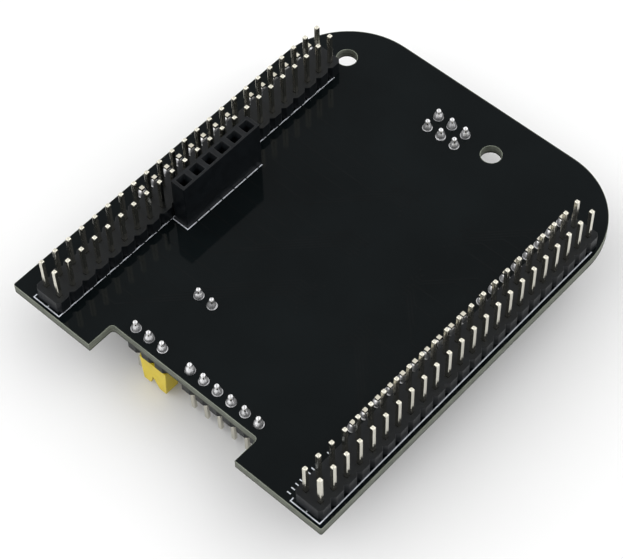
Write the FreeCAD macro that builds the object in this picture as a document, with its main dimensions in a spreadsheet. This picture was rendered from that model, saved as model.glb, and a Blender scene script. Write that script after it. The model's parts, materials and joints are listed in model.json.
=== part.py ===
import FreeCAD, Part
import Sketcher
import math
import os

# Shield adapter board, lying component side down.
# The frame is in millimetres: +Z up out of the solder face, +X and +Y along the board's edges,
# origin under the middle of the board on the plane that the long sockets stand on.
# Underside parts hang from the lower board face; upper parts stand on the upper face.

DIMENSIONS = {
    # circuit board
    "board_width": 57.75,
    "board_length": 69.0,
    "board_thickness": 1.6,
    "far_corner_radius": 12.7,
    "near_corner_radius": 0.3,
    "notch_width": 27.4,
    "notch_depth": 4.5,
    "notch_centre_x": -0.125,
    "notch_corner_radius": 0.6,
    "mount_hole_radius": 1.6,
    "mount_hole_spacing": 27.94,
    "mount_holes_x": -7.315,
    "mount_holes_y": 27.2,
    # pin grid
    "pitch": 2.54,
    "row_spacing": 48.26,
    "drill_radius": 0.52,
    "drill_overrun": 1.6,
    # pin headers
    "header_height": 2.5,
    "header_end_gap": 0.02,
    "single_row_depth": 2.5,
    "double_row_depth": 4.8,
    "segment_notch_half_width": 0.55,
    "segment_notch_depth": 0.5,
    "pin_side": 0.64,
    "pin_tip_chamfer": 0.14,
    "long_pin_exposed": 5.8,
    "short_pin_exposed": 5.4,
    "header_tail": 1.7,
    # sockets
    "socket_height": 8.5,
    "side_socket_height": 8.9,
    "socket_depth": 2.5,
    "socket_end_margin": 0.12,
    "socket_floor": 0.9,
    "lead_in_side": 1.76,
    "lead_in_depth": 0.8,
    "cavity_side": 0.98,
    "contact_bridge": 0.3,
    "contact_leaf_top": 6.6,
    "contact_leaf_width": 0.7,
    "contact_leaf_thick": 0.16,
    "contact_leaf_gap": 0.58,
    "socket_tail": 1.55,
    # solder joints
    "solder_pad_radius": 0.8,
    "solder_rim_radius": 0.75,
    "solder_waist_radius": 0.6,
    "solder_neck_radius": 0.5,
    "solder_rim_height": 0.16,
    "solder_waist_height": 0.63,
    "solder_height": 1.15,
    # jumper cap
    "cap_width": 5.0,
    "cap_tip_width": 4.3,
    "cap_depth": 2.36,
    "cap_height": 5.3,
    "cap_gap": 0.05,
    "cap_cavity_width": 4.1,
    "cap_cavity_depth": 1.3,
    "cap_cavity_height": 2.6,
    "cap_leg_hole": 0.7,
    "cap_groove_half_width": 0.86,
    "cap_groove_height": 2.1,
    "cap_groove_apex_x": -0.25,
    "clip_width": 3.9,
    "clip_thick": 0.14,
    "clip_gap": 0.71,
    "clip_height": 2.3,
    "clip_web_width": 1.3,
    # positions of the connectors: the middle of each pin field
    "headers_x": 1.575,
    "headers_y": -4.5,
    "side_socket_x": -18.525,
    "side_socket_y": -3.66,
    "power_row_x": -26.365,
    "digital_row_x": 21.895,
    "analog_socket_y": 17.9,
    "power_socket_y": -2.42,
    "digital_high_socket_y": 15.36,
    "digital_low_socket_y": -9.024,
    "programming_header_x": -0.965,
    "programming_header_y": 26.15,
    "jumper_header_x": -8.3,
    "serial_header_x": 5.85,
    "edge_headers_y": -28.3,
    "link_header_x": -6.815,
    "link_header_y": -18.7,
    # surface mounted chips
    "chip_column_x": 8.0,
    "chip_first_y": -9.0,
    "chip_spacing": 11.0,
    "shifter_width": 4.4,
    "shifter_length": 6.5,
    "shifter_height": 1.0,
    "shifter_span": 6.4,
    "shifter_lead_pitch": 0.65,
    "shifter_lead_width": 0.25,
    "memory_x": -12.5,
    "memory_y": 14.0,
    "memory_width": 3.9,
    "memory_length": 4.9,
    "memory_height": 1.5,
    "memory_span": 6.0,
    "memory_lead_pitch": 1.27,
    "memory_lead_width": 0.42,
    "chip_standoff": 0.1,
    "chip_bevel": 0.18,
    "lead_thick": 0.15,
    "lead_foot": 0.55,
    # chip capacitors, resistors and indicator lamp
    "chip_body_length": 2.0,
    "chip_cap_width": 1.25,
    "chip_cap_height": 0.9,
    "chip_resistor_height": 0.5,
    "chip_terminal": 0.35,
    "terminal_side_build": 0.02,
    "terminal_top_build": 0.03,
    "capacitor_x": 2.6,
    "resistor_x": -15.2,
    "resistor_y": -10.0,
    "resistor_column_spacing": 3.6,
    "resistor_spacing": 2.3,
    "lamp_x": 12.5,
    "lamp_y": -22.5,
    "lamp_base_height": 0.5,
    "lamp_lens_height": 0.45,
    "lamp_lens_base_radius": 0.575,
    "lamp_lens_top_radius": 0.45,
}

LEFT_GRID_X = "-Dims.row_spacing/2 + Dims.headers_x"
RIGHT_GRID_X = "Dims.row_spacing/2 + Dims.headers_x"
PROGRAMMING_X = "Dims.programming_header_x"

# each connector: name, kind, board face it sits on, row direction, positions, rows, centre x, centre y
CONNECTORS = [
    ("left_header", "header", "top", "y", 23, 2, LEFT_GRID_X, "Dims.headers_y"),
    ("right_header", "header", "top", "y", 23, 2, RIGHT_GRID_X, "Dims.headers_y"),
    ("side_socket", "socket", "top", "y", 6, 1, "Dims.side_socket_x", "Dims.side_socket_y"),
    ("power_socket", "socket", "under", "y", 8, 1, "Dims.power_row_x", "Dims.power_socket_y"),
    ("analog_socket", "socket", "under", "y", 6, 1, "Dims.power_row_x", "Dims.analog_socket_y"),
    ("digital_high_socket", "socket", "under", "y", 8, 1, "Dims.digital_row_x", "Dims.digital_high_socket_y"),
    ("digital_low_socket", "socket", "under", "y", 10, 1, "Dims.digital_row_x", "Dims.digital_low_socket_y"),
    ("programming_header", "header", "under", "x", 3, 2, PROGRAMMING_X, "Dims.programming_header_y"),
    ("jumper_header", "header", "under", "x", 3, 1, "Dims.jumper_header_x", "Dims.edge_headers_y"),
    ("serial_header", "header", "under", "x", 6, 1, "Dims.serial_header_x", "Dims.edge_headers_y"),
    ("link_header", "header", "under", "x", 2, 1, "Dims.link_header_x", "Dims.link_header_y"),
]
LEVEL_SHIFTERS = 3
BOARD_BOTTOM = "Dims.socket_height"
BOARD_TOP = "(Dims.socket_height + Dims.board_thickness)"
JUMPER_CENTRE_X = "Dims.jumper_header_x + Dims.pitch/2"

UP = FreeCAD.Rotation()
UP_ALONG_Y = FreeCAD.Rotation(FreeCAD.Vector(0, 0, 1), 90)
DOWN = FreeCAD.Rotation(FreeCAD.Vector(1, 0, 0), 180)
DOWN_ALONG_Y = UP_ALONG_Y.multiply(DOWN)
ROTATIONS = {
    ("top", "x"): UP,
    ("top", "y"): UP_ALONG_Y,
    ("under", "x"): DOWN,
    ("under", "y"): DOWN_ALONG_Y,
}

doc = FreeCAD.newDocument("shield_adapter_board")
sheet = doc.addObject("Spreadsheet::Sheet", "Dims")
sub_parts = []


def fill_sheet():
    """Writes each driving dimension to the sheet, with its alias."""
    for row, (name, value) in enumerate(DIMENSIONS.items(), start=1):
        sheet.set(f"A{row}", name)
        sheet.set(f"B{row}", str(value))
        sheet.setAlias(f"B{row}", name)
    doc.recompute()


def value_of(expression):
    """The number that an expression gives now."""
    return float(sheet.evalExpression(expression))


def bind(item, **expressions):
    """Binds properties of an object to expressions; a double underscore in a key stands for a dot."""
    for path, expression in expressions.items():
        item.setExpression(path.replace("__", "."), expression)


def place(item, x, y, z, rotation=UP):
    """Binds an object's position and sets its rotation."""
    item.Placement = FreeCAD.Placement(FreeCAD.Vector(), rotation)
    bind(item, Placement__Base__x=x, Placement__Base__y=y, Placement__Base__z=z)


def finish(item, label):
    """Gives a sub-part its name and keeps it for export."""
    item.Label = label
    sub_parts.append(item)
    return item


def origin_feature(body, role):
    return next(f for f in body.Origin.OriginFeatures if f.Role == role)


def new_body(name):
    body = doc.addObject("PartDesign::Body", name)
    body.AllowCompound = True
    return body


def new_sketch(body, name, x="0", y="0", z="0", plane="XY_Plane"):
    """A sketch on one of the body's own planes, moved by an offset bound to expressions."""
    sketch = body.newObject("Sketcher::SketchObject", name)
    sketch.AttachmentSupport = [(origin_feature(body, plane), "")]
    sketch.MapMode = "FlatFace"
    bind(
        sketch,
        AttachmentOffset__Base__x=x,
        AttachmentOffset__Base__y=y,
        AttachmentOffset__Base__z=z,
    )
    return sketch


def polygon(sketch, corners):
    """A closed outline with straight sides, each corner held by two expressions."""
    points = [FreeCAD.Vector(value_of(x), value_of(y), 0) for x, y in corners]
    first = sketch.GeometryCount
    count = len(corners)
    for i in range(count):
        sketch.addGeometry(Part.LineSegment(points[i], points[(i + 1) % count]), False)
    for i in range(count):
        following = first + (i + 1) % count
        sketch.addConstraint(Sketcher.Constraint("Coincident", first + i, 2, following, 1))
    for i, (x, y) in enumerate(corners):
        for kind, expression, number in (("DistanceX", x, points[i].x), ("DistanceY", y, points[i].y)):
            index = sketch.addConstraint(Sketcher.Constraint(kind, -1, 1, first + i, 1, number))
            name = f"{kind}_{first + i}"
            sketch.renameConstraint(index, name)
            sketch.setExpression(f"Constraints.{name}", expression)


def rectangle(sketch, width, depth, x="0", y="0"):
    """A rectangle of that width and depth around the point x, y of the sketch."""
    left, right = f"{x} - ({width})/2", f"{x} + ({width})/2"
    near, far = f"{y} - ({depth})/2", f"{y} + ({depth})/2"
    polygon(sketch, [(left, near), (right, near), (right, far), (left, far)])


def circle(sketch, radius):
    """A circle around the sketch's origin."""
    geometry = sketch.addGeometry(
        Part.Circle(FreeCAD.Vector(), FreeCAD.Vector(0, 0, 1), value_of(radius)), False
    )
    sketch.addConstraint(Sketcher.Constraint("Coincident", geometry, 3, -1, 1))
    index = sketch.addConstraint(Sketcher.Constraint("Radius", geometry, value_of(radius)))
    sketch.renameConstraint(index, "radius")
    sketch.setExpression("Constraints.radius", radius)


def add_feature(body, kind, name, sketch, length=None, **settings):
    """A Pad, Pocket or other sketch-based feature."""
    feature = body.newObject(f"PartDesign::{kind}", name)
    feature.Profile = sketch
    for key, setting in settings.items():
        setattr(feature, key, setting)
    if length is not None:
        bind(feature, Length=length)
    doc.recompute()
    return feature


def pocket(body, name, sketch, length=None, **settings):
    """A Pocket that is sure to cut something."""
    before = body.Shape.Volume
    if length is None:
        settings["Type"] = "ThroughAll"
    feature = add_feature(body, "Pocket", name, sketch, length, **settings)
    if body.Shape.Volume > before - 1e-6:
        raise RuntimeError(f"{body.Name}.{name} cut nothing")
    return feature


def repeat(body, originals, spacing_x, count_x, spacing_y="0", count_y=1):
    """Repeats features, or the whole body where none are given, on a grid along the body's X and Y axes."""
    if count_x * count_y == 1:
        return
    pattern = body.newObject("PartDesign::LinearPattern", "Pattern")
    if originals:
        pattern.Originals = originals
    else:
        pattern.TransformMode = "Whole shape"
    directions = []
    if count_x > 1:
        directions.append(("X_Axis", spacing_x, count_x))
    if count_y > 1:
        directions.append(("Y_Axis", spacing_y, count_y))
    for suffix, (axis, spacing, count) in zip(("", "2"), directions):
        setattr(pattern, f"Direction{suffix}", (origin_feature(body, axis), [""]))
        setattr(pattern, f"Occurrences{suffix}", count)
        pattern.setExpression(f"Length{suffix}", f"({spacing}) * {count - 1}")
    doc.recompute()
    body.Tip = pattern
    doc.recompute()


def edges_along_z(shape, x, y):
    """Names of the upright straight edges at x, y."""
    names = []
    for i, edge in enumerate(shape.Edges, start=1):
        ends = [vertex.Point for vertex in edge.Vertexes]
        upright = len(ends) == 2 and all(math.hypot(p.x - x, p.y - y) < 1e-3 for p in ends)
        if upright and abs(ends[0].z - ends[1].z) > 1e-3:
            names.append(f"Edge{i}")
    return names


def face_at_height(shape, z):
    """Name of the flat face whose middle is at height z."""
    for i, face in enumerate(shape.Faces, start=1):
        box = face.BoundBox
        if box.ZLength < 1e-6 and abs(box.ZMin - z) < 1e-6:
            return f"Face{i}"
    raise RuntimeError(f"no face at height {z}")


def dress(body, kind, name, base, subs, size):
    """A Fillet or Chamfer on named edges or faces of the feature before it."""
    feature = body.newObject(f"PartDesign::{kind}", name)
    feature.Base = (base, subs)
    bind(feature, **{"Radius" if kind == "Fillet" else "Size": size})
    doc.recompute()
    return feature


def first_offset(count):
    """Distance from a row's middle to its first position, as an expression."""
    return f"-Dims.pitch * {(count - 1) / 2}"


def make_cut(base, tool, label):
    """A Part::Cut of two objects, kept as a sub-part."""
    cut = doc.addObject("Part::Cut", label + "_cut")
    cut.Base = base
    cut.Tool = tool
    doc.recompute()
    return finish(cut, label)


def make_board():
    """The circuit board: rounded far corners, near edge with a notch, mounting holes and pin holes."""
    body = new_body("Board")
    outline = new_sketch(body, "Outline", z=BOARD_BOTTOM)
    half_width, half_length = "Dims.board_width/2", "Dims.board_length/2"
    notch_left = "Dims.notch_centre_x - Dims.notch_width/2"
    notch_right = "Dims.notch_centre_x + Dims.notch_width/2"
    notch_y = "-Dims.board_length/2 + Dims.notch_depth"
    polygon(
        outline,
        [
            (f"-{half_width}", f"-{half_length}"),
            (notch_left, f"-{half_length}"),
            (notch_left, notch_y),
            (notch_right, notch_y),
            (notch_right, f"-{half_length}"),
            (half_width, f"-{half_length}"),
            (half_width, half_length),
            (f"-{half_width}", half_length),
        ],
    )
    base = add_feature(body, "Pad", "Plate", outline, "Dims.board_thickness")
    rounds = (
        ("far_corner_radius", [(f"-{half_width}", half_length), (half_width, half_length)]),
        ("near_corner_radius", [(f"-{half_width}", f"-{half_length}"), (half_width, f"-{half_length}")]),
        ("notch_corner_radius", [(notch_left, notch_y), (notch_right, notch_y)]),
    )
    for radius, corners in rounds:
        names = []
        for x, y in corners:
            names += edges_along_z(base.Shape, value_of(x), value_of(y))
        base = dress(body, "Fillet", radius, base, names, f"Dims.{radius}")
    first_hole_x = "Dims.mount_holes_x - Dims.mount_hole_spacing/2"
    hole = new_sketch(body, "MountHole", first_hole_x, "Dims.mount_holes_y", BOARD_TOP)
    circle(hole, "Dims.mount_hole_radius")
    repeat(body, [pocket(body, "MountHolePocket", hole)], "Dims.mount_hole_spacing", 2)
    drills = doc.addObject("Part::Compound", "Drills")
    drills.Links = [make_drills(*connector) for connector in CONNECTORS]
    doc.recompute()
    make_cut(body, drills, "circuit_board")


def make_drills(name, _, face, direction, count, rows, x, y):
    """Round bars where a connector's holes go through the board."""
    body = new_body(f"{name}_drills")
    section = new_sketch(body, "Section", first_offset(count), first_offset(rows), "Dims.drill_overrun")
    circle(section, "Dims.drill_radius")
    add_feature(body, "Pad", "Bar", section, "Dims.board_thickness + 2*Dims.drill_overrun", Reversed=True)
    repeat(body, [], "Dims.pitch", count, "Dims.pitch", rows)
    place(body, x, y, BOARD_TOP if face == "top" else BOARD_BOTTOM, ROTATIONS[face, direction])
    return body


def make_pins(name, count, rows, exposed):
    """Square pins through the housing and the board, with chamfered tips."""
    body = new_body(f"{name}_pin_field")
    start = "-Dims.board_thickness - Dims.header_tail"
    outline = new_sketch(body, "PinSection", first_offset(count), first_offset(rows), start)
    rectangle(outline, "Dims.pin_side", "Dims.pin_side")
    length = f"Dims.board_thickness + Dims.header_tail + Dims.header_height + {exposed}"
    pin = add_feature(body, "Pad", "Pin", outline, length)
    end_heights = (value_of(start), value_of(f"{start} + {length}"))
    ends = [face_at_height(pin.Shape, height) for height in end_heights]
    dress(body, "Chamfer", "Tips", pin, ends, "Dims.pin_tip_chamfer")
    repeat(body, [], "Dims.pitch", count, "Dims.pitch", rows)
    return body


def make_header_housing(name, count, rows):
    """The moulded housing: one block with a notch on both long sides between every two positions."""
    body = new_body(f"{name}_block")
    length = f"Dims.pitch * {count} - 2*Dims.header_end_gap"
    depth = "Dims.single_row_depth" if rows == 1 else "Dims.double_row_depth"
    outline = new_sketch(body, "Outline")
    rectangle(outline, length, depth)
    block = add_feature(body, "Pad", "Block", outline, "Dims.header_height")
    corners = []
    for side_x in (-1, 1):
        for side_y in (-1, 1):
            corner_x, corner_y = side_x * value_of(length) / 2, side_y * value_of(depth) / 2
            corners += edges_along_z(block.Shape, corner_x, corner_y)
    dress(body, "Chamfer", "EndCorners", block, corners, "Dims.segment_notch_depth")
    notches = new_sketch(body, "Notches", f"-Dims.pitch * {count / 2 - 1}", "0", "Dims.header_height")
    for side in ("", "-"):
        face_y = f"{side}({depth})/2"
        apex_y = f"{side}(({depth})/2 - Dims.segment_notch_depth)"
        beyond_y = f"{side}(({depth})/2 + Dims.segment_notch_depth)"
        polygon(
            notches,
            [
                ("-Dims.segment_notch_half_width", face_y),
                ("0", apex_y),
                ("Dims.segment_notch_half_width", face_y),
                ("0", beyond_y),
            ],
        )
    cut = pocket(body, "NotchPocket", notches)
    repeat(body, [cut], "Dims.pitch", count - 1)
    return body


def make_contacts(name, count):
    """Socket contacts: a square tail, a bridge on the socket's floor and two spring leaves each."""
    body = new_body(f"{name}_contact_row")
    first = first_offset(count)
    start = "-Dims.board_thickness - Dims.socket_tail"
    tail_section = new_sketch(body, "TailSection", first, "0", start)
    rectangle(tail_section, "Dims.pin_side", "Dims.pin_side")
    tail_length = "Dims.board_thickness + Dims.socket_tail + Dims.socket_floor"
    add_feature(body, "Pad", "Tail", tail_section, tail_length)
    bridge_section = new_sketch(body, "BridgeSection", first, "0", "Dims.socket_floor")
    bridge_depth = "Dims.contact_leaf_gap + 2*Dims.contact_leaf_thick"
    rectangle(bridge_section, "Dims.contact_leaf_width", bridge_depth)
    add_feature(body, "Pad", "Bridge", bridge_section, "Dims.contact_bridge")
    leaf_section = new_sketch(body, "LeafSection", first, "0", "Dims.socket_floor + Dims.contact_bridge")
    leaf_y = "(Dims.contact_leaf_gap + Dims.contact_leaf_thick)/2"
    for side in ("", "-"):
        rectangle(leaf_section, "Dims.contact_leaf_width", "Dims.contact_leaf_thick", y=f"{side}{leaf_y}")
    leaf_length = "Dims.contact_leaf_top - Dims.socket_floor - Dims.contact_bridge"
    add_feature(body, "Pad", "Leaves", leaf_section, leaf_length)
    repeat(body, [], "Dims.pitch", count)
    return body


def make_socket_housing(name, count, height):
    """The tall socket block, with a funnel and a square cavity at each position."""
    body = new_body(f"{name}_block")
    outline = new_sketch(body, "Outline")
    length = f"Dims.pitch * {count} + 2*Dims.socket_end_margin"
    rectangle(outline, length, "Dims.socket_depth")
    add_feature(body, "Pad", "Block", outline, height)
    first = first_offset(count)
    cavity_section = new_sketch(body, "CavitySection", first, "0", height)
    rectangle(cavity_section, "Dims.cavity_side", "Dims.cavity_side")
    cavity = pocket(body, "Cavity", cavity_section, f"{height} - Dims.socket_floor")
    funnel_section = new_sketch(body, "FunnelSection", first, "0", height)
    rectangle(funnel_section, "Dims.lead_in_side", "Dims.lead_in_side")
    funnel = pocket(body, "Funnel", funnel_section, "Dims.lead_in_depth")
    bind(funnel, TaperAngle="-atan((Dims.lead_in_side - Dims.cavity_side) / (2*Dims.lead_in_depth))")
    doc.recompute()
    repeat(body, [cavity, funnel], "Dims.pitch", count)
    return body


def make_solder(name, count, rows):
    """One joint at each pin: a plated hole filled with solder and a cone around the tail."""
    body = new_body(f"{name}_joints")
    profile = new_sketch(
        body, "JointProfile", first_offset(count), "0", f"-({first_offset(rows)})", plane="XZ_Plane"
    )
    face = "-Dims.board_thickness"
    polygon(
        profile,
        [
            ("0", "0"),
            ("Dims.drill_radius", "0"),
            ("Dims.drill_radius", face),
            ("Dims.solder_pad_radius", face),
            ("Dims.solder_rim_radius", f"{face} - Dims.solder_rim_height"),
            ("Dims.solder_waist_radius", f"{face} - Dims.solder_waist_height"),
            ("Dims.solder_neck_radius", f"{face} - Dims.solder_height"),
            ("0", f"{face} - Dims.solder_height"),
        ],
    )
    joint = body.newObject("PartDesign::Revolution", "Joint")
    joint.Profile = profile
    joint.ReferenceAxis = (profile, ["V_Axis"])
    joint.Angle = 360
    doc.recompute()
    repeat(body, [], "Dims.pitch", count, "Dims.pitch", rows)
    return body


def make_connector(name, kind, face, direction, count, rows, x, y):
    """A header or socket with its metal and its solder joints."""
    if kind == "header":
        exposed = "Dims.long_pin_exposed" if face == "top" else "Dims.short_pin_exposed"
        metal = make_pins(name, count, rows, exposed)
        housing = make_header_housing(name, count, rows)
        metal_name = "pins"
    else:
        height = "Dims.side_socket_height" if face == "top" else "Dims.socket_height"
        metal = make_contacts(name, count)
        housing = make_socket_housing(name, count, height)
        metal_name = "contacts"
    joints = make_solder(name, count, rows)
    seat = BOARD_TOP if face == "top" else BOARD_BOTTOM
    for item in (metal, housing, joints):
        place(item, x, y, seat, ROTATIONS[face, direction])
    doc.recompute()
    make_cut(housing, metal, f"{name}_body")
    finish(metal, f"{name}_{metal_name}")
    make_cut(joints, metal, f"{name}_solder")


def make_jumper_cap():
    """The cap that bridges two pins: a tapered shell, grooved at its tip, and a spring clip inside."""
    shell = new_body("CapShell")
    profile = new_sketch(shell, "Profile", plane="XZ_Plane")
    polygon(
        profile,
        [
            ("-Dims.cap_width/2", "0"),
            ("Dims.cap_width/2", "0"),
            ("Dims.cap_tip_width/2", "Dims.cap_height"),
            ("Dims.cap_groove_half_width", "Dims.cap_height"),
            ("Dims.cap_groove_apex_x", "Dims.cap_height - Dims.cap_groove_height"),
            ("-Dims.cap_groove_half_width", "Dims.cap_height"),
            ("-Dims.cap_tip_width/2", "Dims.cap_height"),
        ],
    )
    add_feature(shell, "Pad", "Block", profile, "Dims.cap_depth", Midplane=True)
    cavity_section = new_sketch(shell, "CavitySection")
    rectangle(cavity_section, "Dims.cap_cavity_width", "Dims.cap_cavity_depth")
    pocket(shell, "Cavity", cavity_section, "Dims.cap_cavity_height", Reversed=True)
    leg_section = new_sketch(shell, "LegHoleSection", "-Dims.pitch/2", "0", "Dims.cap_height")
    rectangle(leg_section, "Dims.cap_leg_hole", "Dims.cap_leg_hole")
    leg_hole = pocket(shell, "LegHole", leg_section, "Dims.cap_height - Dims.cap_cavity_height")
    repeat(shell, [leg_hole], "Dims.pitch", 2)
    clip = new_body("CapClip")
    leaf_section = new_sketch(clip, "LeafSection", z="Dims.cap_cavity_height - Dims.clip_height")
    leaf_y = "(Dims.clip_gap + Dims.clip_thick)/2"
    for side in ("", "-"):
        rectangle(leaf_section, "Dims.clip_width", "Dims.clip_thick", y=f"{side}{leaf_y}")
    add_feature(clip, "Pad", "Leaves", leaf_section, "Dims.clip_height")
    web_section = new_sketch(clip, "WebSection", z="Dims.cap_cavity_height - Dims.clip_thick")
    rectangle(web_section, "Dims.clip_web_width", "Dims.clip_gap + 2*Dims.clip_thick")
    add_feature(clip, "Pad", "Web", web_section, "Dims.clip_thick")
    seat = "Dims.socket_height - Dims.header_height - Dims.cap_gap"
    for item, label in ((shell, "jumper_cap_shell"), (clip, "jumper_cap_clip")):
        place(item, JUMPER_CENTRE_X, "Dims.edge_headers_y", seat, DOWN)
        doc.recompute()
        finish(item, label)


def make_chip(label, size, x, y, leads_a_side):
    """A surface mounted chip: a bevelled case and a comb of gull-wing leads on its two long sides."""
    width, length = f"Dims.{size}_width", f"Dims.{size}_length"
    case = doc.addObject("Part::Box", f"{label}_block")
    bind(case, Length=width, Width=length, Height=f"Dims.{size}_height")
    seat = f"{BOARD_BOTTOM} - Dims.chip_standoff"
    place(case, f"{x} - {width}/2", f"{y} + {length}/2", seat, DOWN)
    doc.recompute()
    bevelled = doc.addObject("Part::Chamfer", f"{label}_bevel")
    bevelled.Base = case
    bevel = value_of("Dims.chip_bevel")
    lowest = case.Shape.BoundBox.ZMin
    upper_edges = [
        (i, bevel, bevel)
        for i, edge in enumerate(case.Shape.Edges, start=1)
        if edge.BoundBox.ZMax < lowest + 1e-6
    ]
    bevelled.Edges = upper_edges
    doc.recompute()
    finish(bevelled, f"{label}_case")
    comb = new_body(f"{label}_comb")
    half_span, half_width = f"Dims.{size}_span/2", f"{width}/2"
    exit_height = f"Dims.chip_standoff + Dims.{size}_height/2"
    thick = "Dims.lead_thick"
    first_lead = f"Dims.{size}_lead_pitch * {(leads_a_side - 1) / 2}"
    profile = new_sketch(comb, "LeadProfile", z=first_lead, plane="XZ_Plane")
    for side in ("", "-"):
        inner_knee = f"({half_span} - Dims.lead_foot)"
        polygon(
            profile,
            [
                (f"{side}{half_span}", "0"),
                (f"{side}{half_span}", thick),
                (f"{side}({inner_knee} + {thick})", thick),
                (f"{side}({inner_knee} + {thick})", f"{exit_height} + {thick}/2"),
                (f"{side}({half_width})", f"{exit_height} + {thick}/2"),
                (f"{side}({half_width})", f"{exit_height} - {thick}/2"),
                (f"{side}{inner_knee}", f"{exit_height} - {thick}/2"),
                (f"{side}{inner_knee}", "0"),
            ],
        )
    add_feature(comb, "Pad", "Lead", profile, f"Dims.{size}_lead_width", Midplane=True)
    repeat(comb, [], "0", 1, f"Dims.{size}_lead_pitch", leads_a_side)
    place(comb, x, y, BOARD_BOTTOM, DOWN)
    doc.recompute()
    finish(comb, f"{label}_leads")


def make_chip_row(label, height, terminal_name, x, y, columns, column_spacing, rows, row_spacing):
    """A grid of two-terminal chips: ceramic middles and metal end caps, in two sub-parts."""
    length, width, cap = "Dims.chip_body_length", "Dims.chip_cap_width", "Dims.chip_terminal"
    core = new_body(f"{label}_cores")
    core_section = new_sketch(core, "CoreSection")
    rectangle(core_section, f"{length} - 2*{cap}", width)
    add_feature(core, "Pad", "Core", core_section, height)
    repeat(core, [], column_spacing, columns, row_spacing, rows)
    ends = new_body(f"{label}_ends")
    end_section = new_sketch(ends, "EndSection")
    for side in ("", "-"):
        end_x = f"{side}({length} - {cap})/2"
        rectangle(end_section, cap, f"{width} + 2*Dims.terminal_side_build", x=end_x)
    add_feature(ends, "Pad", "Ends", end_section, f"{height} + Dims.terminal_top_build")
    repeat(ends, [], column_spacing, columns, row_spacing, rows)
    for item, name in ((core, label), (ends, terminal_name)):
        place(item, x, y, BOARD_BOTTOM, DOWN)
        doc.recompute()
        finish(item, name)


def make_lamp():
    """The indicator lamp: a moulded base with a clear dome on it."""
    base = doc.addObject("Part::Box", "LampBase")
    bind(base, Length="Dims.chip_body_length", Width="Dims.chip_cap_width", Height="Dims.lamp_base_height")
    left = "Dims.lamp_x - Dims.chip_body_length/2"
    far = "Dims.lamp_y + Dims.chip_cap_width/2"
    place(base, left, far, BOARD_BOTTOM, DOWN)
    lens = doc.addObject("Part::Cone", "LampLens")
    bind(
        lens,
        Radius1="Dims.lamp_lens_base_radius",
        Radius2="Dims.lamp_lens_top_radius",
        Height="Dims.lamp_lens_height",
    )
    place(lens, "Dims.lamp_x", "Dims.lamp_y", f"{BOARD_BOTTOM} - Dims.lamp_base_height", DOWN)
    doc.recompute()
    finish(base, "indicator_lamp_base")
    finish(lens, "indicator_lamp_lens")


def check_document():
    """Stops if any object failed or any sub-part has no sound shape."""
    doc.recompute()
    for item in doc.Objects:
        if "Invalid" in item.State or "Error" in item.State:
            raise RuntimeError(f"{item.Name} ({item.Label}) failed: {item.State}")
    for item in sub_parts:
        if item.Shape.isNull() or not item.Shape.isValid() or item.Shape.Volume <= 0:
            raise RuntimeError(f"{item.Label} has no sound shape")


def export_parts():
    os.makedirs("parts", exist_ok=True)
    for item in sub_parts:
        item.Shape.exportStep(f"parts/{item.Label}.step")
        box = item.Shape.BoundBox
        print(
            f"{item.Label:30s} solids {len(item.Shape.Solids):3d}  volume {item.Shape.Volume:9.3f}",
            f"x {box.XMin:7.2f} {box.XMax:7.2f}  y {box.YMin:7.2f} {box.YMax:7.2f}",
            f"z {box.ZMin:6.2f} {box.ZMax:6.2f}",
        )


fill_sheet()
make_board()
for connector in CONNECTORS:
    make_connector(*connector)
make_jumper_cap()
for number in range(LEVEL_SHIFTERS):
    make_chip(
        f"level_shifter_{number + 1}",
        "shifter",
        "Dims.chip_column_x",
        f"(Dims.chip_first_y + Dims.chip_spacing*{number})",
        10,
    )
make_chip("memory_chip", "memory", "Dims.memory_x", "Dims.memory_y", 4)
make_chip_row(
    "chip_capacitors",
    "Dims.chip_cap_height",
    "capacitor_terminals",
    "Dims.capacitor_x",
    "Dims.chip_first_y + Dims.chip_spacing*2",
    1,
    "0",
    LEVEL_SHIFTERS,
    "Dims.chip_spacing",
)
make_chip_row(
    "chip_resistors",
    "Dims.chip_resistor_height",
    "resistor_terminals",
    "Dims.resistor_x",
    "Dims.resistor_y",
    2,
    "Dims.resistor_column_spacing",
    5,
    "Dims.resistor_spacing",
)
make_lamp()
check_document()
export_parts()
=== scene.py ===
import json
import math
import random

import bmesh
import bpy
from mathutils import Matrix, Vector


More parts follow.
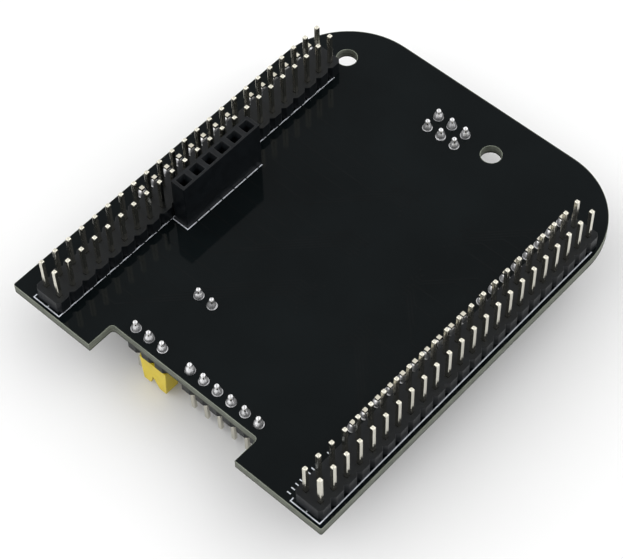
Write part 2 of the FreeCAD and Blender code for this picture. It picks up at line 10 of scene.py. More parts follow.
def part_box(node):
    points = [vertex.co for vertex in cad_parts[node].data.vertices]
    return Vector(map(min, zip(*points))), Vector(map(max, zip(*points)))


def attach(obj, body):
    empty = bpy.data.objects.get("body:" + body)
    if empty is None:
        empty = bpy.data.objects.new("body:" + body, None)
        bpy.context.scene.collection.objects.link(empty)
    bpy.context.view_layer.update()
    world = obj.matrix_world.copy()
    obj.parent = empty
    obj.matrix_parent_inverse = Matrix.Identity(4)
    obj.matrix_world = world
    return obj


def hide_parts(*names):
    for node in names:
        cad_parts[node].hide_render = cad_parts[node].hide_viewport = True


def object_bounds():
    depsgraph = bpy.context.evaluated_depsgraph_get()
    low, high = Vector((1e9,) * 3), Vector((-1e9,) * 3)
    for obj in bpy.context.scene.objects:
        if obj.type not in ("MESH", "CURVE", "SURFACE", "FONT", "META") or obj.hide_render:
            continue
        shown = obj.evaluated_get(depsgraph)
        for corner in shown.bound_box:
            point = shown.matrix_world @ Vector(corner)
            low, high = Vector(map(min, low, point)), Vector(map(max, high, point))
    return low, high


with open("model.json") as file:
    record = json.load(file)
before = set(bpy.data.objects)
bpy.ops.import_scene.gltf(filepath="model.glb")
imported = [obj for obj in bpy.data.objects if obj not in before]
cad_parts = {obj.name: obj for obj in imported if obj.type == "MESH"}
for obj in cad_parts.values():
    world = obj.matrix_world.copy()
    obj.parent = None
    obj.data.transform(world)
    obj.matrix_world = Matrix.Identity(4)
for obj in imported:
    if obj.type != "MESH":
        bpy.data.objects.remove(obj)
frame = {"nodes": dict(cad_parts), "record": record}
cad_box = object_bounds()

MM = 0.001
BOARD = "board"
nodes = frame["nodes"]
rng = random.Random(7)

# name: positions along the row, rows, row direction, face of the board that it sits on
CONNECTORS = {
    "left_header": (23, 2, "y", "top"),
    "right_header": (23, 2, "y", "top"),
    "side_socket": (6, 1, "y", "top"),
    "power_socket": (8, 1, "y", "under"),
    "analog_socket": (6, 1, "y", "under"),
    "digital_high_socket": (8, 1, "y", "under"),
    "digital_low_socket": (10, 1, "y", "under"),
    "programming_header": (3, 2, "x", "under"),
    "jumper_header": (3, 1, "x", "under"),
    "serial_header": (6, 1, "x", "under"),
    "link_header": (2, 1, "x", "under"),
}
PITCH = 2.54 * MM
LEVEL_SHIFTERS = (1, 2, 3)
SHIFTER_LEADS = 10
LEAD_WIDTH = 0.4  # of the pitch of a level shifter's leads

# solder: a pad round every hole, and a joint up every tail that narrows to its neck
PAD_RADIUS = 0.77 * MM
PAD_THICKNESS = 0.03 * MM
JOINT_BASE_MM = (0.68, 0.75)
JOINT_NECK = 0.38 * MM
JOINT_FULLNESS = (1.3, 2.6)
JOINT_CLIMB = (0.88, 0.995)
JOINT_CLIMB_OF_PIN = (0.74, 0.92)
JOINT_LEAN = (0.02, 0.10)
JOINT_RIPPLE = 0.012
JOINT_LEVELS = 10
JOINT_SEGMENTS = 28
TIP_LENGTH = 0.34 * MM
# each ring's radius as a share of the neck, and its height as a share of the tip's length
TIP_RINGS = ((0.97, 0.45), (0.86, 0.80), (0.62, 1.06), (0.28, 1.18))

# printed lines, and the copper tracks and vias under the mask
INK_THICKNESS = 0.02 * MM
INK_WIDTH = 0.17 * MM
TRACK_THICKNESS = 0.02 * MM
TRACK_WIDTH = 0.25 * MM
VIA_RADIUS = 0.238 * MM
VIA_THICKNESS = 0.03 * MM
ROUND_SEGMENTS = 16

# outlines printed on the upper face, measured from the housings that they run round
HEADER_NEAR_GAP = 0.31 * MM
HEADER_END_GAP = 1.6 * MM
# x of the short and of the long line beside each long header, from the middle of its housing
HEADER_LINES = {"left_header": (-2.62 * MM, 2.38 * MM), "right_header": (-2.62 * MM, 2.47 * MM)}
HEADER_RETURN = 0.6 * MM
HEADER_TICK = 0.55 * MM
SOCKET_GAP = 0.17 * MM
SOCKET_END_GAP = 0.14 * MM
BAR_GROUPS = (4, 3, 2)
BAR_LENGTH = 0.62 * MM
BAR_STEP = 0.8 * MM
BAR_GROUP_STEP = 3.9 * MM
BAR_INSET = 1.25 * MM
BAR_START = 0.75 * MM

# outlines printed on the lower face
LOWER_GAP = 0.3 * MM
FIRST_LEAD_DOT = 0.3 * MM

# fan-out of a level shifter: vias in three staggered columns, and where the upper tracks turn
VIA_OFFSET = 0.9 * MM
VIA_STAGGER = 0.45 * MM
VIA_COLUMNS = 3
LEAD_OVERLAP = 0.3 * MM
RIGHT_TURN = 2.4 * MM
LEFT_TURN = 4.0 * MM
UPPER_RUNS = range(2, 8)

# a round mark in the corner of a chip
MARK_INSET = 0.8 * MM
MARK_DEPTH = 0.015 * MM

# materials
RIM_WIDTH = 0.12 * MM
MASK_SPECULAR = 0.10
PLASTIC_SPECULAR = 0.24
EDGE_ROUND_MM = {
    "header_plastic": 0.09,
    "socket_plastic": 0.07,
    "tinned_pin": 0.10,
    "contact": 0.07,
    "cap_plastic": 0.10,
    "capacitor_ceramic": 0.05,
    "resistor_glaze": 0.03,
    "lamp_base": 0.05,
    "lamp_lens": 0.06,
}

# table, light and camera
TABLE_HALF = 1.6
TABLE_DROP = 0.02 * MM
TENT_STRENGTH = 1.76
TENT_ROOF = 0.40
TENT_BEHIND = 0.45
VIEW_AZIMUTH = math.radians(43.58)
VIEW_ELEVATION = math.radians(55.60)
VIEW_ROLL = math.radians(-1.84)
VIEW_TARGET = Vector((1.81, -6.35, 10.1)) * MM
VIEW_DISTANCE = 286.7 * MM
LENS = 118.9
SENSOR = 36.0

board_low, board_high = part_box("circuit_board")


# ---------------------------------------------------------------- materials


def new_material(name):
    """An empty node material: its principled shader, its node tree and the object-space coordinate."""
    material = bpy.data.materials.new(name)
    material.use_nodes = True
    tree = material.node_tree
    shader = tree.nodes["Principled BSDF"]
    coordinate = tree.nodes.new("ShaderNodeTexCoord").outputs["Object"]
    return material, tree, shader, coordinate


def feed(tree, socket, value):
    """Gives a socket its value: another socket to link to, a triple or a number."""
    if isinstance(value, bpy.types.NodeSocket):
        tree.links.new(value, socket)
    elif isinstance(value, tuple):
        socket.default_value = (*value, 1) if socket.type == "RGBA" else value
    else:
        socket.default_value = value


def noise(tree, coordinate, per_mm, detail=3.0, stretch=(1, 1, 1), roughness=0.5):
    """Noise with per_mm cells in a millimetre, stretched along the axes."""
    mapping = tree.nodes.new("ShaderNodeMapping")
    mapping.inputs["Scale"].default_value = [per_mm / MM * s for s in stretch]
    tree.links.new(coordinate, mapping.inputs["Vector"])
    texture = tree.nodes.new("ShaderNodeTexNoise")
    texture.inputs["Scale"].default_value = 1.0
    texture.inputs["Detail"].default_value = detail
    texture.inputs["Roughness"].default_value = roughness
    tree.links.new(mapping.outputs["Vector"], texture.inputs["Vector"])
    return texture.outputs["Fac"]


def gradient(tree, factor, *stops):
    """A value or colour that follows the factor through stops of (position, value)."""
    node = tree.nodes.new("ShaderNodeValToRGB")
    elements = node.color_ramp.elements
    while len(elements) < len(stops):
        elements.new(0.5)
    for element, (position, value) in zip(elements, stops):
        element.position = position
        element.color = (*value, 1) if hasattr(value, "__len__") else (value, value, value, 1)
    tree.links.new(factor, node.inputs["Fac"])
    return node.outputs["Color"]


def ramp(tree, factor, low, high, low_at=0.3, high_at=0.7):
    """A value or colour that runs from low to high as the factor goes from low_at to high_at."""
    return gradient(tree, factor, (low_at, low), (high_at, high))


def math_node(tree, operation, first, second=0.0):
    """A maths node on two values, each a socket or a number."""
    node = tree.nodes.new("ShaderNodeMath")
    node.operation = operation
    feed(tree, node.inputs[0], first)
    feed(tree, node.inputs[1], second)
    return node.outputs[0]


def dot_product(tree, first, second):
    """The dot product of two vectors, each a socket or a triple."""
    node = tree.nodes.new("ShaderNodeVectorMath")
    node.operation = "DOT_PRODUCT"
    feed(tree, node.inputs[0], first)
    feed(tree, node.inputs[1], second)
    return node.outputs["Value"]


def height_of(tree, vector):
    """The upright component of a vector."""
    split = tree.nodes.new("ShaderNodeSeparateXYZ")
    tree.links.new(vector, split.inputs[0])
    return split.outputs["Z"]


def bump(tree, shader, height, distance, strength=0.5):
    """Fine relief on a shader, distance deep."""
    node = tree.nodes.new("ShaderNodeBump")
    node.inputs["Strength"].default_value = strength
    node.inputs["Distance"].default_value = distance
    tree.links.new(height, node.inputs["Height"])
    tree.links.new(node.outputs["Normal"], shader.inputs["Normal"])


def mix(tree, factor, first, second, blend="MIX"):
    """Two colours blended, each a socket or a triple."""
    node = tree.nodes.new("ShaderNodeMix")
    node.data_type = "RGBA"
    node.blend_type = blend
    feed(tree, node.inputs["Factor"], factor)
    colours = [socket for socket in node.inputs if socket.type == "RGBA"]
    feed(tree, colours[0], first)
    feed(tree, colours[1], second)
    return [socket for socket in node.outputs if socket.type == "RGBA"][0]


def flatness(tree, threshold=0.9):
    """1 on faces that lie flat, 0 on upright ones."""
    normal = tree.nodes.new("ShaderNodeNewGeometry").outputs["True Normal"]
    return math_node(tree, "GREATER_THAN", math_node(tree, "ABSOLUTE", height_of(tree, normal)), threshold)


def layers_of_edge(tree, coordinate):
    """How far up the board's cut edge a point is, from 0 at the lower face to 1 at the upper."""
    height = math_node(tree, "SUBTRACT", height_of(tree, coordinate), board_low.z)
    return math_node(tree, "DIVIDE", height, board_high.z - board_low.z)


def near_edge(tree, radius):
    """1 within a radius of the solid's edges, 0 elsewhere."""
    rounded = tree.nodes.new("ShaderNodeBevel")
    rounded.samples = 8
    rounded.inputs["Radius"].default_value = radius
    normal = tree.nodes.new("ShaderNodeNewGeometry").outputs["True Normal"]
    return math_node(tree, "LESS_THAN", dot_product(tree, rounded.outputs["Normal"], normal), 0.985)


def solder_mask():
    """Black solder mask on the flat faces up to a narrow bare rim, bare glass laminate on the cut edges,
    with painted shade low on each cut edge and a painted highlight along its top.
    """
    material, tree, shader, at = new_material("solder_mask_and_laminate")
    mask = ramp(tree, noise(tree, at, 0.09, 4), (0.0024, 0.0038, 0.0043), (0.0038, 0.0057, 0.0064))
    weave = noise(tree, at, 1.4, 5, (0.35, 0.35, 5.0), 0.7)
    laminate = ramp(tree, weave, (0.070, 0.077, 0.064), (0.190, 0.203, 0.168), 0.34, 0.64)
    rim = ramp(tree, weave, (0.16, 0.18, 0.14), (0.34, 0.37, 0.30), 0.32, 0.66)
    # bands up the cut edge: painted shade darkens its lowest quarter and a painted highlight brightens its
    # top, with the laminate's own layers between
    edge_layers_and_painted_light = gradient(
        tree,
        layers_of_edge(tree, at),
        (0.0, 0.30),
        (0.16, 0.55),
        (0.26, 1.0),
        (0.46, 0.80),
        (0.60, 1.0),
        (0.84, 0.95),
        (1.0, 1.7),
    )
    edge = mix(tree, 1.0, laminate, edge_layers_and_painted_light, "MULTIPLY")
    flat = flatness(tree)
    face = mix(tree, near_edge(tree, RIM_WIDTH), mask, rim)
    tree.links.new(mix(tree, flat, edge, face), shader.inputs["Base Color"])
    gloss = ramp(tree, noise(tree, at, 0.25, 3), 0.045, 0.085)
    tree.links.new(mix(tree, flat, (0.62, 0.62, 0.62), gloss), shader.inputs["Roughness"])
    shader.inputs["Specular IOR Level"].default_value = MASK_SPECULAR
    bump(tree, shader, noise(tree, at, 0.55, 2), 0.003 * MM, 0.2)
    return material


def mask_only():
    """The same mask over copper, for raised tracks and vias."""
    material, tree, shader, at = new_material("solder_mask_over_copper")
    mask = ramp(tree, noise(tree, at, 0.2, 4), (0.0034, 0.0046, 0.0050), (0.0054, 0.0070, 0.0076))
    tree.links.new(mask, shader.inputs["Base Color"])
    tree.links.new(ramp(tree, noise(tree, at, 0.5, 3), 0.06, 0.10), shader.inputs["Roughness"])
    shader.inputs["Specular IOR Level"].default_value = MASK_SPECULAR
    bump(tree, shader, noise(tree, at, 1.5, 2), 0.003 * MM, 0.2)
    return material


def ink():
    """White printing ink, a little uneven."""
    material, tree, shader, at = new_material("white_ink")
    colour = ramp(tree, noise(tree, at, 3.0, 4), (0.48, 0.50, 0.54), (0.70, 0.73, 0.79), 0.35, 0.6)
    tree.links.new(colour, shader.inputs["Base Color"])
    shader.inputs["Roughness"].default_value = 0.55
    bump(tree, shader, noise(tree, at, 8.0, 3), 0.01 * MM, 0.4)
    return material


def plastic(name, dark, light, low_gloss, high_gloss, grain=9.0, specular=0.5):
    """Moulded plastic: a slightly uneven tone and a fine grain."""
    material, tree, shader, at = new_material(name)
    tree.links.new(ramp(tree, noise(tree, at, 0.6, 5), dark, light), shader.inputs["Base Color"])
    tree.links.new(ramp(tree, noise(tree, at, 1.2, 4), low_gloss, high_gloss), shader.inputs["Roughness"])
    shader.inputs["Specular IOR Level"].default_value = specular
    bump(tree, shader, noise(tree, at, grain, 3), 0.012 * MM, 0.5)
    return material


def black_plastic(name, low_gloss, high_gloss):
    """The black glass-filled moulding of headers and sockets."""
    dark, light = (0.0026, 0.0034, 0.0044), (0.0048, 0.0064, 0.0080)
    return plastic(name, dark, light, low_gloss, high_gloss, specular=PLASTIC_SPECULAR)


def metal(
    name, dark, light, low_gloss, high_gloss, stretch=(1, 1, 1), per_mm=3.0, depth=0.01, cut_gloss=None
):
    """Plated metal: patchy tone and marks depth mm deep, stretched along the axes. Where the metal is
    cut to length, cut_gloss is the roughness of the flat sheared ends."""
    material, tree, shader, at = new_material(name)
    shader.inputs["Metallic"].default_value = 1.0
    tone = ramp(tree, noise(tree, at, per_mm * 0.4, 5, stretch), dark, light)
    tree.links.new(tone, shader.inputs["Base Color"])
    gloss = ramp(tree, noise(tree, at, per_mm, 4, stretch), low_gloss, high_gloss)
    if cut_gloss is not None:
        gloss = mix(tree, flatness(tree), gloss, (cut_gloss, cut_gloss, cut_gloss))
    tree.links.new(gloss, shader.inputs["Roughness"])
    bump(tree, shader, noise(tree, at, per_mm * 2, 3, stretch), depth * MM, 0.5)
    return material


def drawn_wire(name, dark, light, low_gloss, high_gloss):
    """Plated pins and springs: faint marks along their length, rougher on the sheared ends."""
    lengthwise = (1.4, 1.4, 0.1)
    return metal(name, dark, light, low_gloss, high_gloss, lengthwise, 2.0, depth=0.001, cut_gloss=0.55)


def solder_metal():
    """Solder with a dull, slightly oxidised skin, so it is not a clean mirror."""
    dark, light = (0.60, 0.60, 0.61), (0.80, 0.80, 0.81)
    material = metal("solder", dark, light, 0.22, 0.40, per_mm=1.4, depth=0.014)
    material.node_tree.nodes["Principled BSDF"].inputs["Metallic"].default_value = 0.84
    return material


def cap_plastic():
    """Yellow moulded plastic that lets a little light in."""
    dark, light = (0.58, 0.44, 0.014), (0.67, 0.52, 0.024)
    material = plastic("yellow_cap_plastic", dark, light, 0.32, 0.45, grain=7.0)
    shader = material.node_tree.nodes["Principled BSDF"]
    shader.inputs["Subsurface Weight"].default_value = 0.04
    shader.inputs["Subsurface Radius"].default_value = (1.0, 0.55, 0.1)
    shader.inputs["Subsurface Scale"].default_value = 0.5 * MM
    return material


def resistor_skin():
    """White alumina sides under a black glaze."""
    material, tree, shader, at = new_material("resistor_skin")
    glaze = ramp(tree, noise(tree, at, 1.0, 4), (0.010, 0.010, 0.012), (0.022, 0.022, 0.024))
    alumina = ramp(tree, noise(tree, at, 4.0, 4), (0.62, 0.61, 0.57), (0.78, 0.77, 0.73))
    tree.links.new(mix(tree, flatness(tree), alumina, glaze), shader.inputs["Base Color"])
    tree.links.new(ramp(tree, noise(tree, at, 2.0, 3), 0.22, 0.4), shader.inputs["Roughness"])
    bump(tree, shader, noise(tree, at, 6.0, 3), 0.008 * MM, 0.5)
    return material


def lens_resin():
    """Clear resin with a faint green tint."""
    material, tree, shader, at = new_material("clear_lens_resin")
    tint = ramp(tree, noise(tree, at, 2.0, 3), (0.60, 0.78, 0.52), (0.72, 0.88, 0.62))
    tree.links.new(tint, shader.inputs["Base Color"])
    shader.inputs["Transmission Weight"].default_value = 0.55
    tree.links.new(ramp(tree, noise(tree, at, 5.0, 3), 0.08, 0.16), shader.inputs["Roughness"])
    return material


MATERIALS = {
    "board": solder_mask(),
    "header_plastic": black_plastic("header_plastic", 0.36, 0.50),
    "socket_plastic": black_plastic("socket_plastic", 0.30, 0.42),
    "tinned_pin": drawn_wire("tin_plate", (0.58, 0.56, 0.48), (0.74, 0.72, 0.63), 0.10, 0.20),
    "contact": drawn_wire("plated_spring", (0.60, 0.57, 0.48), (0.76, 0.73, 0.64), 0.12, 0.22),
    "solder": solder_metal(),
    "cap_plastic": cap_plastic(),
    "chip_case": plastic(
        "chip_moulding", (0.014, 0.014, 0.015), (0.026, 0.026, 0.028), 0.42, 0.60, grain=14.0
    ),
    "capacitor_ceramic": plastic("capacitor_ceramic", (0.36, 0.25, 0.15), (0.48, 0.35, 0.22), 0.38, 0.55),
    "resistor_glaze": resistor_skin(),
    "lamp_base": plastic("lamp_base_moulding", (0.68, 0.67, 0.62), (0.80, 0.79, 0.74), 0.35, 0.5),
    "lamp_lens": lens_resin(),
}
INK = ink()
COVERED_COPPER = mask_only()


# ---------------------------------------------------------------- mesh helpers


def new_piece(name, builder, material, body=BOARD, smooth=False):
    """An object from a bmesh, riding on a body, with its material."""
    mesh = bpy.data.meshes.new(name)
    bmesh.ops.recalc_face_normals(builder, faces=builder.faces)
    builder.to_mesh(mesh)
    builder.free()
    mesh.polygons.foreach_set("use_smooth", [smooth] * len(mesh.polygons))
    mesh.materials.append(material)
    piece = bpy.data.objects.new(name, mesh)
    bpy.context.scene.collection.objects.link(piece)
    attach(piece, body)
    return piece


def prism(builder, outline, low, high):
    """A closed upright prism on a list of x, y points."""
    rings = [[builder.verts.new((x, y, z)) for x, y in outline] for z in (low, high)]
    builder.faces.new(rings[1])
    builder.faces.new(list(reversed(rings[0])))
    count = len(outline)
    for i in range(count):
        j = (i + 1) % count
        builder.faces.new((rings[0][i], rings[0][j], rings[1][j], rings[1][i]))


def disc_outline(x, y, radius, count=24):
    """Points round a circle."""
    step = 2 * math.pi / count
    return [(x + radius * math.cos(i * step), y + radius * math.sin(i * step)) for i in range(count)]


def ribbon(builder, path, width, low, high):
    """A flat strip with mitred corners along a path, closed into a frame if the path ends at its start."""
    closed = path[0] == path[-1]
    points = [Vector(point) for point in (path[:-1] if closed else path)]
    count = len(points)
    sections = []
    for i, point in enumerate(points):
        before = points[i - 1] if closed or i > 0 else None
        after = points[(i + 1) % count] if closed or i < count - 1 else None
        normals = []
        for start, end in ((before, point), (point, after)):
            if start is not None and end is not None:
                along = (end - start).normalized()
                normals.append(Vector((-along.y, along.x)))
        mitre = (normals[0] + normals[-1]) / (1 + normals[0].dot(normals[-1])) * width / 2
        corners = [point + mitre, point - mitre]
        sections.append([builder.verts.new((*corner, z)) for corner in corners for z in (low, high)])
    for i in range(count if closed else count - 1):
        a, b = sections[i], sections[(i + 1) % count]
        for k, m in ((0, 1), (1, 3), (3, 2), (2, 0)):
            builder.faces.new((a[k], a[m], b[m], b[k]))
    if not closed:
        for section in (sections[0], sections[-1]):
            builder.faces.new((section[0], section[1], section[3], section[2]))


def lathe(builder, centre, rings, segments, wobble=None):
    """A surface turned round an upright axis through rings of (radius, height), closed at both ends.
    wobble scales the radius by angle and ring."""
    loops = []
    for level, (radius, height) in enumerate(rings):
        loop = []
        for i in range(segments):
            angle = 2 * math.pi * i / segments
            r = radius * (wobble(angle, level) if wobble else 1.0)
            x, y = centre[0] + r * math.cos(angle), centre[1] + r * math.sin(angle)
            loop.append(builder.verts.new((x, y, height)))
        loops.append(loop)
    builder.faces.new(loops[-1])
    builder.faces.new(list(reversed(loops[0])))
    for low, high in zip(loops, loops[1:]):
        for i in range(segments):
            j = (i + 1) % segments
            builder.faces.new((low[i], low[j], high[j], high[i]))


# ---------------------------------------------------------------- positions from the frame


def pin_positions(name):
    """Centre of each position of a connector, worked out from the box of its joints."""
    count, rows, direction, _ = CONNECTORS[name]
    low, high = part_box(f"{name}_solder")
    centre = (low + high) / 2
    points = []
    for i in range(count):
        for j in range(rows):
            along, across = (i - (count - 1) / 2) * PITCH, (j - (rows - 1) / 2) * PITCH
            x, y = (along, across) if direction == "x" else (across, along)
            points.append((centre.x + x, centre.y + y))
    return points


def solder_face(name):
    """Height of the face that a connector is soldered on, and which way is out of it."""
    return (board_low.z, -1) if CONNECTORS[name][3] == "top" else (board_high.z, 1)


# ---------------------------------------------------------------- pieces


def finish_cad_nodes():
    """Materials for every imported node, and softened edges where a moulding or a cut leaves them."""
    slots = {row["node"]: row["material_slot"] for row in frame["record"]["subparts"]}
    for name, node in nodes.items():
        slot = slots[name]
        node.data.materials.clear()
        node.data.materials.append(MATERIALS[slot])
        if slot not in EDGE_ROUND_MM:
            continue
        weld = node.modifiers.new("Weld", "WELD")
        weld.merge_threshold = 0.0005 * MM
        flat = node.modifiers.new("Flatten", "DECIMATE")
        flat.decimate_type = "DISSOLVE"
        flat.angle_limit = math.radians(1.0)
        soften = node.modifiers.new("Soften", "BEVEL")
        soften.width = EDGE_ROUND_MM[slot] * MM
        soften.segments = 3
        soften.limit_method = "ANGLE"
        soften.angle_limit = math.radians(35)


def joint_wobble(lean, phase, levels):
    """A radius factor for lathe: a joint that leans toward phase at its foot and ripples a little."""

    def factor(angle, level):
        sag = lean * math.cos(angle - phase) * (1 - level / levels)
        return 1 + sag + JOINT_RIPPLE * math.sin(3 * angle + phase)

    return factor


def make_joints(name):
    """The solder of one connector: a dome up each tail, every one a little different. On the round-topped
    joints of pin headers the solder has run over the end of the tail too."""
    face, out = solder_face(name)
    low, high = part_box(f"{name}_solder")
    height = (high.z - face) if out > 0 else (face - low.z)
    tail = None
    if f"{name}_pins" in nodes:
        low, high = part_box(f"{name}_pins")
        tail = (high.z - face) if out > 0 else (face - low.z)
    builder = bmesh.new()
    for x, y in pin_positions(name):
        fullness = rng.uniform(*JOINT_FULLNESS)
        climb = height * rng.uniform(*JOINT_CLIMB)
        base = rng.uniform(*JOINT_BASE_MM) * MM
        lean, phase = rng.uniform(*JOINT_LEAN), rng.uniform(0, 2 * math.pi)
        if tail:
            climb = (tail - TIP_LENGTH) * rng.uniform(*JOINT_CLIMB_OF_PIN)
        rings = []
        for level in range(JOINT_LEVELS):
            share = level / (JOINT_LEVELS - 1)
            radius = JOINT_NECK + (base - JOINT_NECK) * (1 - share ** fullness)
            rings.append((radius, face + out * climb * share))
        if tail:
            for across, along in TIP_RINGS:
                rings.append((across * JOINT_NECK, face + out * (tail + (along - 1) * TIP_LENGTH)))
        lathe(builder, (x, y), rings, JOINT_SEGMENTS, joint_wobble(lean, phase, len(rings)))
    piece = new_piece(f"{name}_solder_cones", builder, MATERIALS["solder"], smooth=True)
    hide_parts(f"{name}_solder")


def make_pads():
    """Tinned rings round every through hole, on both faces."""
    upper = (board_high.z, board_high.z + PAD_THICKNESS)
    lower = (board_low.z - PAD_THICKNESS, board_low.z)
    for label, level in (("upper", upper), ("lower", lower)):
        builder = bmesh.new()
        for name in CONNECTORS:
            for x, y in pin_positions(name):
                prism(builder, disc_outline(x, y, PAD_RADIUS), *level)
        new_piece(f"{label}_pads", builder, MATERIALS["solder"])


def make_upper_ink():
    """Printed outlines round the connectors on the upper face, and plain bars beside the right header."""
    builder = bmesh.new()
    level = (board_high.z, board_high.z + INK_THICKNESS)
    near_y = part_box("left_header_body")[0].y - HEADER_NEAR_GAP
    tick_start = near_y + INK_WIDTH / 2
    for name, (short_offset, long_offset) in HEADER_LINES.items():
        low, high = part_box(f"{name}_body")
        middle = (low.x + high.x) / 2
        short_line, long_line = middle + short_offset, middle + long_offset
        path = [
            (short_line, near_y + HEADER_RETURN),
            (short_line, near_y),
            (long_line, near_y),
            (long_line, high.y - HEADER_END_GAP),
        ]
        ribbon(builder, path, INK_WIDTH, *level)
        ribbon(builder, [(middle, tick_start), (middle, tick_start + HEADER_TICK)], INK_WIDTH, *level)
    # plain bars in three groups, where a board of this kind carries its lettering
    start_x, start_y = short_line - BAR_INSET, near_y + BAR_START
    for group, bars in enumerate(BAR_GROUPS):
        for i in range(bars):
            y = start_y + BAR_GROUP_STEP * group + BAR_STEP * i
            ribbon(builder, [(start_x, y), (start_x + BAR_LENGTH, y)], INK_WIDTH, *level)
    low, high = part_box("side_socket_body")
    header_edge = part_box("left_header_body")[1].x
    path = [
        (header_edge, low.y - SOCKET_GAP),
        (high.x + SOCKET_GAP, low.y - SOCKET_GAP),
        (high.x + SOCKET_GAP, high.y - SOCKET_END_GAP),
    ]
    ribbon(builder, path, INK_WIDTH, *level)
    new_piece("upper_outline_print", builder, INK)


def make_lower_ink():
    """Printed outlines round the parts on the lower face, with a dot at each chip's first lead."""
    builder = bmesh.new()
    level = (board_low.z - INK_THICKNESS, board_low.z)
    names = [f"{name}_body" for name in CONNECTORS if CONNECTORS[name][3] == "under"]
    names += ["memory_chip_leads"] + [f"level_shifter_{i}_leads" for i in LEVEL_SHIFTERS]
    for name in names:
        low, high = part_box(name)
        left, right = low.x - LOWER_GAP, high.x + LOWER_GAP
        near, far = low.y - LOWER_GAP, high.y + LOWER_GAP
        path = [(left, near), (right, near), (right, far), (left, far), (left, near)]
        ribbon(builder, path, INK_WIDTH, *level)
        if name.endswith("_leads"):
            dot = disc_outline(right + 2 * LOWER_GAP, far - LOWER_GAP, FIRST_LEAD_DOT, ROUND_SEGMENTS)
            prism(builder, dot, *level)
    new_piece("lower_outline_print", builder, INK)


def fan_path(start, end, turn_x):
    """Straight out of start to turn_x, at 45 degrees to the height of end, and straight on to end."""
    rise = end[1] - start[1]
    toward = math.copysign(abs(rise), end[0] - start[0])
    return [start, (turn_x, start[1]), (turn_x + toward, end[1]), end]


def make_tracks():
    """Copper tracks and vias under the mask: fan-outs of the level shifters on the lower face,
    and runs from their vias to the digital sockets and the left long header on the upper face."""
    lower, upper = bmesh.new(), bmesh.new()
    lower_level = (board_low.z - TRACK_THICKNESS, board_low.z)
    upper_level = (board_high.z, board_high.z + TRACK_THICKNESS)
    lower_via_level = (board_low.z - VIA_THICKNESS, board_low.z)
    upper_via_level = (board_high.z, board_high.z + VIA_THICKNESS)
    digital = pin_positions("digital_low_socket") + pin_positions("digital_high_socket")
    left_pins_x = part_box("left_header_pins")[0].x
    left_pins = [p for p in pin_positions("left_header") if p[0] > left_pins_x + PITCH]
    digital.sort(key=lambda p: p[1])
    left_pins.sort(key=lambda p: p[1])
    for chip, number in enumerate(LEVEL_SHIFTERS):
        low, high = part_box(f"level_shifter_{number}_leads")
        pitch = (high.y - low.y) / (SHIFTER_LEADS - 1 + LEAD_WIDTH)
        for i in range(SHIFTER_LEADS):
            y = (low.y + high.y) / 2 + (i - (SHIFTER_LEADS - 1) / 2) * pitch
            out = VIA_OFFSET + VIA_STAGGER * (i % VIA_COLUMNS)
            for side, edge in ((1, high.x), (-1, low.x)):
                via = (edge + side * out, y)
                ribbon(lower, [(edge - side * LEAD_OVERLAP, y), via], TRACK_WIDTH, *lower_level)
                for builder, level in ((lower, lower_via_level), (upper, upper_via_level)):
                    prism(builder, disc_outline(*via, VIA_RADIUS, ROUND_SEGMENTS), *level)
            if i in UPPER_RUNS:
                run = len(UPPER_RUNS) * chip + i
                target = digital[min(len(digital) - 1, run - UPPER_RUNS.start)]
                end = (target[0] - PAD_RADIUS, target[1])
                path = fan_path((high.x + out, y), end, high.x + RIGHT_TURN)
                ribbon(upper, path, TRACK_WIDTH, *upper_level)
                target = left_pins[run]
                end = (target[0] + PAD_RADIUS, target[1])
                path = fan_path((low.x - out, y), end, low.x - LEFT_TURN)
                ribbon(upper, path, TRACK_WIDTH, *upper_level)
    new_piece("lower_tracks", lower, COVERED_COPPER)
    new_piece("upper_tracks", upper, COVERED_COPPER)


def make_chip_marks():
    """The round mark in the corner of each chip's moulding, filled with pale paint."""
    builder = bmesh.new()
    for name in ["memory_chip_case"] + [f"level_shifter_{i}_case" for i in LEVEL_SHIFTERS]:
        low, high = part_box(name)
        face = low.z - MARK_DEPTH
        rings = [(0.36 * MM, low.z), (0.34 * MM, face), (0.30 * MM, face)]
        lathe(builder, (high.x - MARK_INSET, high.y - MARK_INSET), rings, 24)
    new_piece("chip_ejector_marks", builder, MATERIALS["lamp_base"])


def make_stage():
    """A plain pale table."""
    builder = bmesh.new()
    signs = ((-1, -1), (1, -1), (1, 1), (-1, 1))
    builder.faces.new([builder.verts.new((x * TABLE_HALF, y * TABLE_HALF, 0)) for x, y in signs])
    mesh = bpy.data.meshes.new("table")
    builder.to_mesh(mesh)
    builder.free()
    material, tree, shader, at = new_material("pale_table")
    paper = ramp(tree, noise(tree, at, 0.02, 2), (0.87, 0.87, 0.87), (0.89, 0.89, 0.89))
    tree.links.new(paper, shader.inputs["Base Color"])
    shader.inputs["Roughness"].default_value = 0.6
    shader.inputs["Specular IOR Level"].default_value = 0.2
    mesh.materials.append(material)
    table = bpy.data.objects.new("table", mesh)
    table.location.z = cad_box[0].z - TABLE_DROP
    bpy.context.scene.collection.objects.link(table)


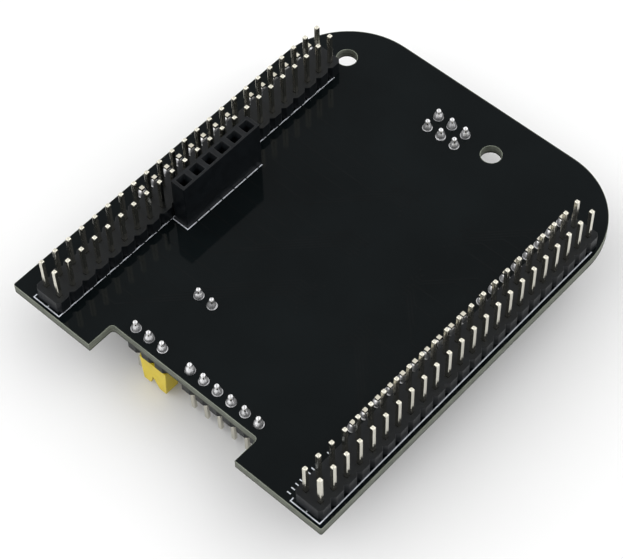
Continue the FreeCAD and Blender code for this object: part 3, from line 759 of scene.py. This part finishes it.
def make_lights():
    """A light tent: white low down all round and high up to the left and right of the view, dim over
    the middle and behind the viewer."""
    world = bpy.data.worlds.new("light_tent")
    world.use_nodes = True
    tree = world.node_tree
    direction = tree.nodes.new("ShaderNodeTexCoord").outputs["Generated"]
    sideways = dot_product(tree, direction, (math.cos(VIEW_AZIMUTH), math.sin(VIEW_AZIMUTH), 0))
    toward_viewer = dot_product(tree, direction, (math.sin(VIEW_AZIMUTH), -math.cos(VIEW_AZIMUTH), 0))
    off_middle = math_node(tree, "ABSOLUTE", sideways)
    low_band = gradient(tree, height_of(tree, direction), (0.35, 1.0), (0.55, TENT_ROOF))
    side_walls = gradient(tree, off_middle, (0.28, TENT_ROOF), (0.45, 1.0))
    behind_viewer = gradient(tree, toward_viewer, (0.50, 1.0), (0.85, TENT_BEHIND))
    walls = math_node(tree, "MAXIMUM", low_band, side_walls)
    background = tree.nodes["Background"]
    tree.links.new(math_node(tree, "MULTIPLY", walls, behind_viewer), background.inputs["Color"])
    background.inputs["Strength"].default_value = TENT_STRENGTH
    bpy.context.scene.world = world


def make_camera():
    """Seen from the near right, high up, through a long lens."""
    outward = math.cos(VIEW_ELEVATION)
    back = Vector(
        (
            math.sin(VIEW_AZIMUTH) * outward,
            -math.cos(VIEW_AZIMUTH) * outward,
            math.sin(VIEW_ELEVATION),
        )
    )
    data = bpy.data.cameras.new("camera")
    data.sensor_width = SENSOR
    data.lens = LENS
    data.clip_start = 0.01
    data.clip_end = 20.0
    camera = bpy.data.objects.new("camera", data)
    camera.rotation_mode = "QUATERNION"
    camera.location = VIEW_TARGET + back * VIEW_DISTANCE
    upright = (-back).to_track_quat("-Z", "Y")
    camera.rotation_quaternion = upright @ Matrix.Rotation(VIEW_ROLL, 4, "Z").to_quaternion()
    bpy.context.scene.collection.objects.link(camera)
    bpy.context.scene.camera = camera


finish_cad_nodes()
for connector in CONNECTORS:
    make_joints(connector)
make_pads()
make_tracks()
make_upper_ink()
make_lower_ink()
make_chip_marks()
make_stage()
make_lights()
make_camera()
bpy.context.scene.view_settings.view_transform = "Standard"
